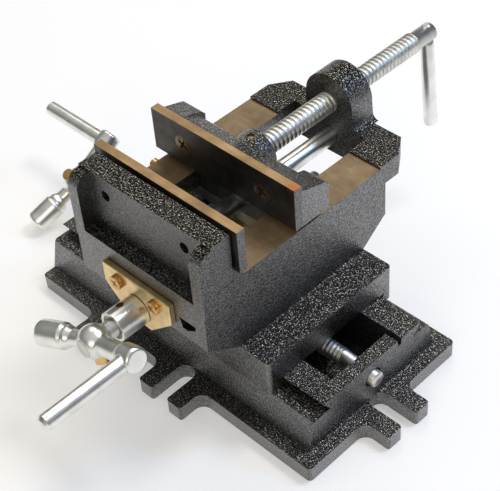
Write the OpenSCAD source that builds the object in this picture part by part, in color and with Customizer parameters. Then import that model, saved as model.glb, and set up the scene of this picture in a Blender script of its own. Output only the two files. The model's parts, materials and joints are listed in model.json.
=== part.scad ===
// Cross slide vise: a drill-press vise on two crossed dovetail slides.
// Millimetres. The origin is the centre of the base's underside, +Z is up,
// the X slide runs along X and the jaws close along Y.

/* [Base] */
// Length of the base flange along X
base_l = 209; // [190:1:240]
// Width of the base flange along Y
base_w = 114; // [108:1:130]
// Thickness of the base flange
flange_h = 9.5; // [7:0.5:12]
// Corner radius of the flange
flange_r = 2.5; // [1:0.5:12]
// Width of the base block where it stands on the flange
block_foot_w = 96.8; // [94:0.2:104]
// Width of the base block at the ledge under the saddle
block_top_w = 89; // [86:0.5:92]
// Height of the ledge beside the dovetail rails
ledge_z = 28.4; // [24:0.2:29]
// Radius of the cast edges of ledge and flange
cast_r = 2.5; // [1:0.5:4]
// How far the block stops short of the flange at the right end
block_inset = 8; // [4:0.5:12]
// Height of the dovetail rails' top
rail_z = 35; // [33:0.5:40]
// Width over the dovetail rails at their top
rail_w = 74; // [68:0.5:78]
// How far each dovetail flank leans in over its height
rail_lean = 5; // [3:0.5:6]
// Width of the trough between the rails
trough_w = 44; // [36:1:46]
// Height of the trough's floor
trough_floor = 7; // [5:0.5:10]
// Thickness of the right end wall
right_wall = 8.3; // [6:0.1:12]
// Thickness of the left end wall
left_wall = 10; // [8:0.5:14]

/* [Hold-down lugs] */
// Width of the hold-down slots
slot_w = 11; // [9:0.5:13]
// Width of each lug finger
finger_w = 10.5; // [8:0.5:14]
// How far the lugs stand out from the flange
lug_reach = 16; // [12:0.5:20]
// How far the slots run in past the flange's edge
slot_in = 3; // [1:0.5:4]
// Fillet between lug and flange
lug_fillet = 6; // [3:0.5:8]
// Place along X of the lugs nearer the right end
lug_right_x = 12; // [4:1:20]
// Spacing of the two lugs on each long side
lug_pitch = 54; // [50:1:60]

/* [Saddle] */
// Length of the saddle along X
saddle_l = 131.2; // [120:0.2:140]
// Width of the saddle along Y
saddle_w = 92.6; // [90:0.2:100]
// Height of the saddle's top
saddle_z = 51.3; // [47:0.1:56]
// Gap between the saddle's skirts and the base's ledge
skirt_gap = 0.5; // [0.3:0.1:1]
// Place of the saddle along the base at rest
saddle_x = 3.7; // [0:0.1:8]
// Width over the cross dovetail at its top
cross_w = 60; // [52:1:62]
// Height of the cross dovetail above the saddle
cross_h = 10.7; // [9:0.1:11.5]
// Travel of the vise bed on the cross dovetail, to each side
body_travel = 35; // [25:1:36]
// How far each cross dovetail flank leans in
cross_lean = 5; // [3:0.5:6]
// Thickness of the gib strips
gib_t = 3; // [2:0.1:3.5]
// Running clearance of the slides
slide_gap = 0.12; // [0.08:0.01:0.3]

/* [Vise bed] */
// Width of the bed's slab
bed_w = 93.4; // [90:0.2:98]
// Height of the bed rails on which the moving jaw slides
bed_z = 98.1; // [92:0.1:104]
// Thickness of the bed's slab
slab_t = 11.6; // [10:0.2:13]
// How far the slab stands out past the side walls
lip = 0.6; // [0.3:0.1:1.5]
// Height of the rough cast rear part above the machined rails
cast_step = 1.4; // [0.8:0.1:2]
// Place along Y of the front face
front_y = -67; // [-70:0.5:-64]
// Place along Y of the rear end of the slab
rear_y = 85; // [82:0.5:95]
// Place along Y where the machined rails end
rails_end_y = 59.2; // [50:0.2:64]
// Length and width of the rear corner chamfers
rear_chamfer = [8, 11.5];
// Height above the saddle at which the overhanging ends start
overhang_rise = 13; // [10:0.5:15]
// Place along Y of the rear wall's upper part
heel_y = 64; // [60:0.5:66]
// Thickness of the bed's side walls
wall_t = 10; // [8:0.5:11]
// Width of the window in the bed
window_w = 50.8; // [46:0.2:54]
// Place along Y of the window's front end
window_front = -40; // [-42:0.5:-39]
// Place along Y of the window's rear end
window_rear = 72; // [68.5:0.5:73]
// Radius of the rear screw boss
boss_r = 16.3; // [14:0.1:20]
// How much wider the boss's foot is, on each side
boss_flare = 0.5; // [0:0.1:2]
// Fillet from the boss to the slab
boss_fillet = 4; // [2:0.5:8]
// How far the boss stands out behind the slab
boss_proud = 3; // [0:0.5:4]
// Depth of the block below the slab that carries the guide rod
rod_block_drop = 8.5; // [7:0.5:12]

/* [Jaws] */
// Width of the jaw plates
plate_w = 100; // [94:1:110]
// Height of the jaw plates
plate_h = 25.6; // [22:0.2:27]
// Thickness of the jaw plates
plate_t = 4.9; // [4:0.1:5.2]
// Gap between the bed and the lower edge of the jaw plates
plate_lift = 5.7; // [4:0.1:7]
// Place along Y of the fixed jaw's gripping face
grip_y = -40.3; // [-41:0.1:-40]
// Opening between the jaws at rest
jaw_gap = 33.3; // [20:0.1:34]
// Thickness of the fixed jaw's wall
fixed_wall = 12.3; // [9:0.1:14]
// Width of the relief groove behind the fixed jaw plate
relief = 1.3; // [1:0.1:3]
// How far the fixed jaw's wall stays below the plate's top
wall_drop = 2; // [1:0.2:9]
// Thickness of the side gussets in front of the fixed jaw
gusset_t = 7.2; // [6:0.2:11]
// How far the gussets stay below the fixed jaw's wall
gusset_drop = 1.6; // [0.5:0.1:4]
// Height of the shelf in the front pocket, below the bed rails
shelf_drop = 5.6; // [4:0.2:8]
// Distance of the plate screws from the middle
plate_screw_x = 28; // [20:1:32]
// Diameter of the plate screws
plate_screw_d = 6; // [5:0.5:8]
// Diameter of the plate screws' countersunk heads
plate_head_d = 11; // [9:0.5:13]
// Thickness of the moving jaw's web
web_t = 14.6; // [12:0.2:16]
// Depth of the moving jaw's end lugs, from its front
end_lug_t = 19; // [17:0.5:21]
// Width of the moving jaw's end lugs
end_lug_w = 14; // [10:0.5:18]
// Radius of the moving jaw's screw boss
jaw_boss_r = 12; // [10:0.5:13]
// Depth of the moving jaw's screw boss, from its front
jaw_boss_t = 22; // [20:0.5:24]
// How far the moving jaw's top lies below its plate at the front
jaw_top_drop = 3.4; // [2:0.2:5]
// Fall of the moving jaw's top towards the back
jaw_top_fall = 5; // [3:0.5:7]
// Width of the moving jaw's foot on the bed rails
jaw_foot_w = 92; // [80:1:93]
// Thickness of the keeper plate under the bed rails
keeper_t = 7; // [6:0.5:8]
// Clearance between the keeper plate and the bed's walls, on each side
keeper_side_gap = 3.1; // [1:0.1:6]

/* [Clamp screw and guide rod] */
// Height of the clamp screw's axis above the bed rails
clamp_rise = 13.5; // [12.5:0.1:16]
// Diameter of the clamp screw
clamp_d = 12; // [10:0.5:14]
// Diameter of the clamp screw's tip in the moving jaw
clamp_tip_d = 10; // [8:0.5:10]
// Length of the clamp screw behind the moving jaw's boss, up to its head
clamp_l = 120.6; // [115:0.2:140]
// Diameter of the clamp screw's head
clamp_head_d = 10.4; // [9:0.1:11.8]
// Length of the clamp screw's head
clamp_head_l = 16; // [12:0.5:24]
// Diameter of the hanging handle bar
bar_d = 8; // [7:0.5:9]
// Distance from the clamp screw's axis to the bar's lower end
bar_reach = 61.3; // [50:0.1:75]
// Lean of the hanging bar at rest
bar_lean = 5; // [0:1:20]
// Depth of the guide rod's axis below the bed rails
rod_drop = 9.4; // [9:0.1:10.5]
// Diameter of the guide rod
rod_d = 10; // [8:0.5:11]
// Diameter of the retaining pin in the moving jaw
pin_d = 4; // [3:0.5:5]

/* [Lead screws and cranks] */
// Height of the X lead screw's axis
x_axis_z = 24; // [23.5:0.1:25]
// Height of the Y lead screw's axis above the saddle
y_axis_rise = 14.7; // [14:0.1:15.5]
// Diameter of the lead screws
screw_d = 10; // [8:0.5:11]
// Radial clearance of turning shafts
turn_gap = 0.05; // [0.02:0.01:0.1]
// Clearance of pressed and pinned pieces
press_gap = 0.02; // [0.01:0.01:0.05]
// Thickness of the bearing plates
bearing_t = 3.5; // [3:0.1:5]
// Width of the bearing plates
bearing_w = 49; // [44:0.5:54]
// Reach of the bearing plates from the axis to their broad edge
bearing_broad = 17.5; // [15:0.5:18]
// Reach of the bearing plates from the axis to their narrow edge
bearing_narrow = 10.5; // [9.5:0.5:11]
// Diameter of the bearing plates' screws
bearing_screw_d = 4; // [3:0.5:5]
// Distance of the bearing plates' screws from the axis, sideways and up
bearing_screw_at = [13.5, 10.5];
// Diameter of the coupling sleeves
sleeve_d = 17; // [15:0.5:19]
// Length of the coupling sleeves
sleeve_l = 17; // [14:0.5:20]
// Distance from the bearing plate to the middle of the crank's hub
hub_at = 29; // [27:0.2:34]
// Diameter of the crank's hub
hub_d = 18; // [16:0.5:22]
// Distance from the middle of the crank's hub to its flat front
hub_front = 7.4; // [6:0.1:7.6]
// Diameter of the crank's arm
arm_d = 10.5; // [9:0.5:11]
// Distance from the axis to the handle rod in the crank's elbow
elbow_at = 29.5; // [27:0.5:34]
// Diameter of the crank's elbow
elbow_d = 13.4; // [12:0.2:15]
// Length of the crank's elbow
elbow_l = 11.4; // [10.6:0.2:14]
// Distance from the axis to the middle of the counterweight knob
knob_at = 27.3; // [25:0.1:30]
// Diameter of the counterweight knob
knob_d = 14.2; // [13:0.2:16]
// Length of the counterweight knob
knob_l = 17.5; // [14:0.5:18]
// Diameter of the neck between hub and knob
neck_d = 8.6; // [7:0.2:10]
// How far the knob leans out from the crank's plane
knob_lean = 14; // [0:1:20]
// Diameter of the crank handle rods
handle_d = 9; // [7:0.5:10]
// Length of the crank handle rods outside the ball's middle
handle_l = 54; // [45:1:65]
// Crank angle of the Y drive at rest
y_crank_angle = 17; // [0:1:45]
// Crank angle of the X drive at rest
x_crank_angle = 31; // [0:1:33]

/* [Hidden] */
$fn = 48;

// Overshoot of every cut past the surface that it opens
cut = 1;
paint = "#3b3d40";
machined = "#8d8577";
steel = "#b9bcc0";
dark_steel = "#2f2d2b";
brass = "#b98a3c";
zinc_yellow = "#b5652e";

// Base: places worked out from its sizes
base_left = -base_l / 2;
base_right = base_l / 2;
block_right = base_right - block_inset;
trough_left = base_left + left_wall;
trough_right = block_right - right_wall;
rail_h = rail_z - ledge_z;
wall_lean = atan2((block_foot_w - block_top_w) / 2, ledge_z - flange_h);
lug_xs = [lug_right_x, lug_right_x - lug_pitch];
finger_at = (slot_w + finger_w) / 2;
finger_round = finger_w / 6;

// Saddle and cross slide
saddle_floor = rail_z + slide_gap;
skirt_z = ledge_z + skirt_gap;
cross_z = saddle_z + cross_h;
gib_screw_d = 4;
gib_nut_d = 8;
gib_nut_t = 3;
gib_end_gap = 2;
saddle_gib_l = saddle_l - 2 * gib_end_gap;
saddle_gib_z = (skirt_z + saddle_floor) / 2;
saddle_gib_xs = [-40, 0, 40];
bed_gib_z = saddle_z + cross_h / 2;
bed_gib_ys = [-28, 0, 28];
nut_l = 24;
nut_w = 26;
nut_wall = 9;
spigot_d = 12;
spigot_l = 9;
y_nut_foot_w = 40;
y_nut_foot_t = 5;
y_nut_screw_at = 16;
y_nut_screw_d = 5;
y_nut_head_d = 8;
y_nut_head_t = 3;
y_nut_thread_l = 8;

// Vise bed
slab_z = bed_z - slab_t;
side_w = bed_w - 2 * lip;
front_low_z = saddle_z + overhang_rise;
cavity_w = side_w - 2 * wall_t;
front_wall_t = 13;
cavity_front = front_y + front_wall_t;
y_axis_z = saddle_z + y_axis_rise;
notch_r = 8.5;
shelf_z = bed_z - shelf_drop;
rod_z = bed_z - rod_drop;
rod_block_w = 50;
rod_seat_w = 26;
rod_front_wall = 4;
rod_rear_wall = 2;
rod_end_gap = 0.5;
clamp_z = bed_z + clamp_rise;
lock_y = -10.5;
lock_drop = 3.1;
lock_d = 4;
lock_l = 10;
lock_head_d = 6;
lock_head_t = 3;

// Jaws
plate_low = bed_z + plate_lift;
plate_top = plate_low + plate_h;
plate_mid_z = plate_low + plate_h / 2;
fixed_back = grip_y - plate_t;
seat_gap = 0.2;
seat_y = grip_y - seat_gap;
wall_front = fixed_back - relief - fixed_wall;
fixed_top = plate_top - wall_drop;
fixed_end = 0.2;
fixed_w = bed_w - 2 * fixed_end;
relief_low = plate_low + 2;
moving_face = grip_y + jaw_gap;
moving_front = moving_face + plate_t;
jaw_top_front = plate_top - jaw_top_drop;
jaw_top_back = jaw_top_front - jaw_top_fall;
foot_t = 17;
tongue_w = window_w - 0.6;
tongue_low = slab_z - slide_gap;
keeper_low = tongue_low - keeper_t;
keeper_screw_x = 17;
keeper_screw_d = 6;
keeper_head_d = 10;
keeper_head_t = 5;
plate_screw_l = 13;
moving_screw_l = 12;
tip_end = moving_front + 5;
boss_end = moving_front + jaw_boss_t;
keeper_w = cavity_w - 2 * keeper_side_gap;
pin_inset = 5.5;
groove_y = boss_end - pin_inset;
groove_w = pin_d + 0.6;
groove_d = 6.5;

// Clamp screw head and bar
thread_end = boss_end + clamp_l;
head_end = thread_end + clamp_head_l;
bar_inset = 3.4;
bar_at = head_end - bar_inset;
bar_neck_d = 5;
bar_peen_d = 6.4;
bar_peen_t = 1.2;

// Drives, measured outwards from the face of the bearing plate
sleeve_gap = 0.3;
screw_front = hub_at + hub_front;
sleeve_rim = 1.6;
sleeve_rim_l = 2.5;
crank_screw_d = 4;
crank_head_d = 7;
crank_head_t = 4.5;
spot_face = 0.3;
sleeve_pin_d = 4;
sleeve_pin_at = 9;
x_plate_face = base_left - bearing_t;
y_plate_face = front_y - bearing_t;
x_screw_end_d = 9;
x_dome = 1.2;
x_proud = 2;
x_journal_in = 12;
x_recess_d = 11.4;
x_recess_l = 2.5;
end_notch = [3, 4];
y_screw_in = 128;
bearing_corner = 8;
bearing_head_t = 2.4;
bearing_thread_l = left_wall - 2;
thread_end_gap = 0.5;
relief_gap = 1;

// Points of an arc, for outlines
function arc(cx, cy, r, from, to, n = 6) =
  [for (i = [0:n]) let (a = from + (to - from) * i / n) [cx + r * cos(a), cy + r * sin(a)]];

// An outline in (Y, Z) drawn out along X
module along_x(x0, x1) {
  translate([x0, 0, 0]) rotate([90, 0, 90]) linear_extrude(x1 - x0) children();
}

// An outline in (X, Z) drawn out along Y
module along_y(y0, y1) {
  translate([0, y1, 0]) rotate([90, 0, 0]) linear_extrude(y1 - y0) children();
}

// Round bars along each axis
module bar_x(x0, x1, d) {
  translate([x0, 0, 0]) rotate([0, 90, 0]) cylinder(h = x1 - x0, d = d);
}

module bar_y(y0, y1, d) {
  translate([0, y0, 0]) rotate([-90, 0, 0]) cylinder(h = y1 - y0, d = d);
}

// A box centred on X, between two places on Y and two heights
module span(w, y0, y1, z0, z1) {
  translate([-w / 2, y0, z0]) cube([w, y1 - y0, z1 - z0]);
}

// A rectangle with round corners, centred
module round_rect(l, w, r) {
  square([l - 2 * r, w], center = true);
  square([l, w - 2 * r], center = true);
  for (sx = [-1, 1], sy = [-1, 1])
    translate([sx * (l / 2 - r), sy * (w / 2 - r)]) circle(r);
}

// The corner piece between two straight edges, filled round
module fillet_corner(r) {
  difference() {
    square(r);
    translate([r, r]) circle(r);
  }
}

// A pair of lug fingers standing out along +Y from an edge at Y = 0
module lug_fingers() {
  for (side = [-1, 1]) {
    translate([side * finger_at, 0]) {
      translate([-finger_w / 2, -slot_in]) square([finger_w, lug_reach + slot_in - finger_round]);
      translate([-finger_w / 2 + finger_round, 0])
        square([finger_w - 2 * finger_round, lug_reach]);
      for (corner = [-1, 1])
        translate([corner * (finger_w / 2 - finger_round), lug_reach - finger_round])
          circle(finger_round);
    }
    translate([side * (finger_at + finger_w / 2), 0]) scale([side, 1]) fillet_corner(lug_fillet);
  }
}

// The slot between two lug fingers
module lug_slot() {
  circle(d = slot_w);
  translate([-slot_w / 2, 0]) square([slot_w, lug_reach + slot_in + slot_w]);
}

// Places a lug outline at each of the five lugs of the flange
module at_lugs() {
  for (x = lug_xs) {
    translate([x, base_w / 2]) children();
    translate([x, -base_w / 2]) rotate(180) children();
  }
  translate([base_right, 0]) rotate(-90) children();
}

module flange_outline() {
  difference() {
    union() {
      round_rect(base_l, base_w, flange_r);
      at_lugs() lug_fingers();
    }
    at_lugs() translate([0, -slot_in]) lug_slot();
  }
}

// The base block across the rails, one side drawn and the other mirrored by its sign
function block_side(s) = concat(
  [[s * block_foot_w / 2, flange_h - cut]],
  [[s * block_foot_w / 2, flange_h]],
  [for (p = arc(block_top_w / 2 - cast_r, ledge_z - cast_r, cast_r, wall_lean, 90)) [s * p[0], p[1]]],
  [[s * (rail_w / 2 - rail_lean), ledge_z], [s * rail_w / 2, rail_z]]);

module block_outline() {
  right = block_side(1);
  left = block_side(-1);
  polygon(concat(right, [for (i = [len(left) - 1:-1:0]) left[i]]));
}

module base_casting() {
  color(paint) difference() {
    union() {
      linear_extrude(flange_h) flange_outline();
      along_x(base_left, block_right) block_outline();
    }
    translate([trough_left, -trough_w / 2, trough_floor])
      cube([trough_right - trough_left, trough_w, rail_z]);
    // bores for the X lead screw
    translate([0, 0, x_axis_z]) {
      bar_x(base_left - cut, trough_left + cut, screw_d + 2);
      bar_x(trough_right - cut, block_right + cut, x_screw_end_d + 2 * turn_gap);
      bar_x(block_right - x_recess_l, block_right + cut, x_recess_d);
    }
    // notch in the top of the right end wall, beside the rear rail
    translate([trough_right - cut, trough_w / 2 - end_notch[0], rail_z - end_notch[1]])
      cube([right_wall + 2 * cut, end_notch[0], end_notch[1] + cut]);
    // threaded holes of the bearing plate
    x_drive() bearing_screw_places()
      translate([0, 0, -bearing_t - bearing_thread_l])
        cylinder(h = bearing_thread_l + cut, d = bearing_screw_d);
  }
}

// The drives' own frames: the axis points outwards, from the bearing plate's face
module x_drive() {
  translate([x_plate_face, 0, x_axis_z]) rotate([0, 0, -90]) rotate([90, 0, 0]) children();
}

module y_drive() {
  on_vise() translate([0, y_plate_face, y_axis_z]) rotate([90, 0, 0]) children();
}

// The vise stands on the saddle
module on_vise() {
  translate([saddle_x, 0, 0]) children();
}

// The broad edge of the X plate points down, that of the Y plate up
module x_crank_place() {
  x_drive() rotate(180 - x_crank_angle) children();
}

module y_crank_place() {
  y_drive() rotate(y_crank_angle) children();
}

module bearing_outline() {
  polygon([[-bearing_w / 2, bearing_broad], [bearing_w / 2, bearing_broad],
    [bearing_w / 2, bearing_broad / 4], [bearing_corner, -bearing_narrow],
    [-bearing_corner, -bearing_narrow], [-bearing_w / 2, bearing_broad / 4]]);
}

module bearing_screw_places(up = -1) {
  for (side = [-1, 1]) translate([side * bearing_screw_at[0], up * bearing_screw_at[1], 0]) children();
}

module bearing_plate(up) {
  difference() {
    scale([1, up, 1]) translate([0, 0, -bearing_t]) linear_extrude(bearing_t) bearing_outline();
    translate([0, 0, -bearing_t - cut])
      cylinder(h = bearing_t + 2 * cut, d = screw_d + 2 * turn_gap);
    bearing_screw_places(up) translate([0, 0, -bearing_t - cut])
      cylinder(h = bearing_t + 2 * cut, d = bearing_screw_d + 2 * press_gap);
  }
}

// Pan-head screws of a bearing plate
module bearing_screws(up) {
  bearing_screw_places(up) {
    cylinder(h = bearing_head_t, d = 2 * bearing_screw_d);
    translate([0, 0, -bearing_t - bearing_thread_l + thread_end_gap])
      cylinder(h = bearing_t + bearing_thread_l - thread_end_gap, d = bearing_screw_d - 2 * press_gap);
  }
}

module x_bearing_plate() {
  color(brass) x_drive() bearing_plate(-1);
}

module x_plate_screws() {
  color(zinc_yellow) x_drive() bearing_screws(-1);
}

module y_bearing_plate() {
  color(brass) y_drive() bearing_plate(1);
}

module y_plate_screws() {
  color(zinc_yellow) y_drive() bearing_screws(1);
}

// A lead screw, turned about its axis: its inner end, then the journal through plate, sleeve
// and crank
module lead_screw(inner_end) {
  difference() {
    rotate_extrude() polygon(concat(inner_end, [[screw_d / 2, screw_front], [0, screw_front]]));
    sleeve_pin_bore();
  }
}

module sleeve_pin_bore() {
  translate([0, 0, sleeve_pin_at]) rotate([90, 0, 0])
    cylinder(h = 2 * sleeve_d, d = sleeve_pin_d + 2 * press_gap, center = true);
}

// The inner end of the X lead screw is a journal in the end wall, domed outside it
module x_lead_screw() {
  journal_r = x_screw_end_d / 2;
  dome_r = (journal_r * journal_r + x_dome * x_dome) / (2 * x_dome);
  tip = x_plate_face - block_right - x_proud - x_dome;
  shoulder = x_plate_face - trough_right + x_journal_in;
  color(steel) x_crank_place() lead_screw(concat(
    arc(0, tip + dome_r, dome_r, -90, -90 + asin(journal_r / dome_r)),
    [[journal_r, shoulder], [screw_d / 2, shoulder]]));
}

module y_lead_screw() {
  color(steel) y_crank_place() lead_screw([[0, -bearing_t - y_screw_in],
    [screw_d / 2, -bearing_t - y_screw_in]]);
}

module coupling_sleeve() {
  difference() {
    translate([0, 0, sleeve_gap]) cylinder(h = sleeve_l - sleeve_gap, d = sleeve_d);
    cylinder(h = sleeve_l + cut, d = screw_d + 2 * press_gap);
    translate([0, 0, sleeve_l - sleeve_rim_l])
      cylinder(h = sleeve_rim_l + cut, d = sleeve_d - 2 * sleeve_rim);
    sleeve_pin_bore();
  }
}

module sleeve_pin() {
  translate([0, 0, sleeve_pin_at]) rotate([90, 0, 0])
    cylinder(h = sleeve_d - 2 * press_gap, d = sleeve_pin_d, center = true);
}

module x_coupling_sleeve() {
  color(steel) x_crank_place() coupling_sleeve();
}

module y_coupling_sleeve() {
  color(steel) y_crank_place() coupling_sleeve();
}

module x_sleeve_pin() {
  color(dark_steel) x_crank_place() sleeve_pin();
}

module y_sleeve_pin() {
  color(dark_steel) y_crank_place() sleeve_pin();
}

// The counterweight knob: a barrel with turned shoulders, on its neck
module knob() {
  shoulder = knob_d / 6;
  low = knob_at - knob_l / 2;
  high = knob_at + knob_l / 2;
  rotate([0, -90 + knob_lean, 0]) rotate_extrude() polygon(concat(
    [[0, 0], [neck_d / 2, 0], [neck_d / 2, low - 2 * shoulder], [knob_d / 2 - shoulder / 2, low - shoulder],
      [knob_d / 2 - shoulder / 2, low], [knob_d / 2, low + shoulder / 4]],
    arc(knob_d / 2 - shoulder, high - shoulder, shoulder, 0, 90), [[0, high]]));
}

// The arm and its elbow: a barrel with a flat end, in which the handle rod is pressed
module elbow() {
  low = elbow_at - elbow_l / 2;
  high = elbow_at + elbow_l / 2;
  bevel = elbow_d / 12;
  rotate([0, 90, 0]) rotate_extrude() polygon([[0, 0], [arm_d / 2, 0], [arm_d / 2, low - bevel],
    [elbow_d / 2, low + bevel], [elbow_d / 2, high - bevel], [elbow_d / 2 - bevel, high], [0, high]]);
}

// A crank: hub with a flat front, arm and elbow along +X, counterweight knob opposite
module crank() {
  difference() {
    union() {
      intersection() {
        translate([0, 0, hub_at]) sphere(d = hub_d);
        translate([0, 0, hub_at - hub_d]) cylinder(h = hub_d + hub_front, d = 2 * hub_d);
      }
      translate([0, 0, hub_at]) {
        elbow();
        knob();
      }
    }
    translate([0, 0, sleeve_l]) cylinder(h = hub_at + hub_d, d = screw_d + 2 * press_gap);
    translate([elbow_at, 0, hub_at]) cylinder(h = elbow_d, d = handle_d + 2 * press_gap);
    at_crank_screw() cylinder(h = hub_d, d = crank_screw_d + 2 * press_gap);
    at_crank_screw() translate([0, 0, crank_seat]) cylinder(h = hub_d, d = crank_head_d + 4 * press_gap);
  }
}

// The set screw stands across the arm, its head on a spot face of the hub
crank_seat = sqrt(hub_d * hub_d - crank_head_d * crank_head_d) / 2 - spot_face;

module at_crank_screw() {
  translate([0, 0, hub_at]) rotate([90, 0, 0]) children();
}

module x_crank() {
  color(steel) x_crank_place() crank();
}

module y_crank() {
  color(steel) y_crank_place() crank();
}

// The handle rod, pressed into the ball, with a turned end
module crank_handle() {
  bevel = handle_d / 6;
  translate([elbow_at, 0, hub_at + press_gap]) rotate_extrude() polygon([[0, 0], [handle_d / 2, 0],
    [handle_d / 2, handle_l - bevel], [handle_d / 2 - bevel, handle_l], [0, handle_l]]);
}

module x_crank_handle() {
  color(steel) x_crank_place() crank_handle();
}

module y_crank_handle() {
  color(steel) y_crank_place() crank_handle();
}

// The set screw that holds the crank on its lead screw
module crank_screw() {
  tip = screw_d / 2 + 2 * press_gap;
  at_crank_screw() {
    translate([0, 0, crank_seat]) cylinder(h = crank_head_t, d = crank_head_d);
    translate([0, 0, tip]) cylinder(h = crank_seat - tip + cut, d = crank_screw_d);
  }
}

module x_crank_screw() {
  color(zinc_yellow) x_crank_place() crank_screw();
}

module y_crank_screw() {
  color(zinc_yellow) y_crank_place() crank_screw();
}

// Half-width of the rails at a height, along their leaning flanks
function rail_flank(z) = rail_w / 2 - rail_lean * (rail_z - z) / rail_h;

// The saddle across the rails; the rear flank leaves room for the gib
module saddle_outline() {
  gap = 2 * slide_gap;
  low = skirt_z - cut;
  difference() {
    translate([-saddle_w / 2, skirt_z]) square([saddle_w, saddle_z - skirt_z]);
    polygon([[-rail_flank(saddle_floor) - gap, saddle_floor],
      [rail_flank(saddle_floor) + gap + gib_t, saddle_floor],
      [rail_flank(low) + gap + gib_t, low], [-rail_flank(low) - gap, low]]);
  }
}

module cross_outline() {
  polygon([[-cross_w / 2 + cross_lean, saddle_z - cut], [cross_w / 2 - cross_lean, saddle_z - cut],
    [cross_w / 2 - cross_lean, saddle_z], [cross_w / 2, cross_z], [-cross_w / 2, cross_z],
    [-cross_w / 2 + cross_lean, saddle_z]]);
}

module saddle_casting() {
  color(paint) on_vise() difference() {
    union() {
      intersection() {
        along_x(-saddle_l / 2, saddle_l / 2) saddle_outline();
        linear_extrude(saddle_z) round_rect(saddle_l, saddle_w, cast_r);
      }
      along_y(-saddle_w / 2, saddle_w / 2) cross_outline();
    }
    // groove for the Y lead screw along the top of the cross dovetail
    translate([0, 0, y_axis_z]) bar_y(-saddle_w, saddle_w, screw_d + 2);
    // room for the Y bearing plate at the rear end of the bed's travel
    span(2 * (bearing_w / 2 + relief_gap), -saddle_w, front_y + body_travel + relief_gap,
      y_axis_z - bearing_narrow - relief_gap, cross_z + cut);
    // seat of the X nut's spigot
    translate([0, 0, saddle_floor - cut]) cylinder(h = spigot_l + cut, d = spigot_d + 2 * press_gap);
    // threaded holes of the gib screws, through the rear skirt
    at_saddle_gib_screws() bar_y(rail_w / 2 - rail_lean, saddle_w, gib_screw_d + 2 * press_gap);
    // threaded holes of the Y nut's screws
    at_y_nut_screws() translate([0, 0, cross_z - y_nut_thread_l])
      cylinder(h = y_nut_thread_l + cut, d = y_nut_screw_d + 2 * press_gap);
  }
}

module at_saddle_gib_screws() {
  for (x = saddle_gib_xs) translate([x, 0, saddle_gib_z]) children();
}

module at_y_nut_screws() {
  for (side = [-1, 1]) translate([side * y_nut_screw_at, 0, 0]) children();
}

// A gib: a strip with leaning sides, thinner than its room by the running clearance
module gib_outline(inner_top, lean, low, high) {
  t = gib_t - 2 * press_gap;
  polygon([[inner_top, high], [inner_top + t, high], [inner_top + t - lean, low], [inner_top - lean, low]]);
}

module saddle_gib() {
  low = skirt_z + slide_gap;
  high = saddle_floor - slide_gap;
  color(steel) on_vise() along_x(-saddle_gib_l / 2, saddle_gib_l / 2)
    gib_outline(rail_flank(high) + slide_gap, rail_flank(high) - rail_flank(low), low, high);
}

// Where the outer side of the saddle's gib lies, at the height of its screws
saddle_gib_face = rail_flank(saddle_gib_z) + slide_gap + gib_t;

module saddle_gib_screws() {
  reach = gib_screw_d / 2 * rail_lean / rail_h;
  color(steel) on_vise() at_saddle_gib_screws()
    bar_y(saddle_gib_face + reach + press_gap, saddle_w / 2 + gib_nut_t + 2, gib_screw_d);
}

module gib_locknut() {
  difference() {
    cylinder(h = gib_nut_t, d = gib_nut_d, $fn = 6);
    translate([0, 0, -cut]) cylinder(h = gib_nut_t + 2 * cut, d = gib_screw_d + 2 * press_gap);
  }
}

module saddle_gib_locknuts() {
  color(steel) on_vise() at_saddle_gib_screws()
    translate([0, saddle_w / 2, 0]) rotate([-90, 0, 0]) gib_locknut();
}

// The X nut hangs from the saddle's underside into the trough
module x_nut() {
  low = x_axis_z - nut_wall;
  color(brass) on_vise() difference() {
    union() {
      translate([-nut_l / 2, -nut_w / 2, low]) cube([nut_l, nut_w, saddle_floor - low]);
      translate([0, 0, saddle_floor - cut]) cylinder(h = spigot_l, d = spigot_d);
    }
    translate([0, 0, x_axis_z]) bar_x(-nut_l, nut_l, screw_d + 2 * turn_gap);
  }
}

// The Y nut is screwed to the top of the cross dovetail
module y_nut() {
  color(brass) on_vise() difference() {
    union() {
      translate([-y_nut_foot_w / 2, -nut_l / 2, cross_z]) cube([y_nut_foot_w, nut_l, y_nut_foot_t]);
      translate([0, 0, y_axis_z]) bar_y(-nut_l / 2, nut_l / 2, screw_d + nut_wall);
    }
    translate([0, 0, y_axis_z]) bar_y(-nut_l, nut_l, screw_d + 2 * turn_gap);
    at_y_nut_screws() translate([0, 0, cross_z - cut])
      cylinder(h = y_nut_foot_t + 2 * cut, d = y_nut_screw_d + 2 * press_gap);
    translate([-y_nut_foot_w, -nut_l, 0]) cube([2 * y_nut_foot_w, 2 * nut_l, cross_z]);
  }
}

module y_nut_screws() {
  color(steel) on_vise() at_y_nut_screws() translate([0, 0, cross_z + y_nut_foot_t]) {
    cylinder(h = y_nut_head_t, d = y_nut_head_d);
    translate([0, 0, 0.5 - y_nut_thread_l - y_nut_foot_t])
      cylinder(h = y_nut_thread_l + y_nut_foot_t, d = y_nut_screw_d);
  }
}

// The side of the bed below its slab: overhanging at both ends
module bed_side_outline() {
  foot_front = -saddle_w / 2;
  foot_rear = saddle_w / 2;
  polygon([[front_y, front_low_z], [foot_front, saddle_z], [foot_rear, saddle_z],
    [heel_y, front_low_z], [heel_y, slab_z + cut], [front_y, slab_z + cut]]);
}

module slab_outline() {
  half = bed_w / 2;
  polygon([[-half, front_y], [half, front_y], [half, rear_y - rear_chamfer[1]],
    [half - rear_chamfer[0], rear_y], [-half + rear_chamfer[0], rear_y],
    [-half, rear_y - rear_chamfer[1]]]);
}

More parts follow.
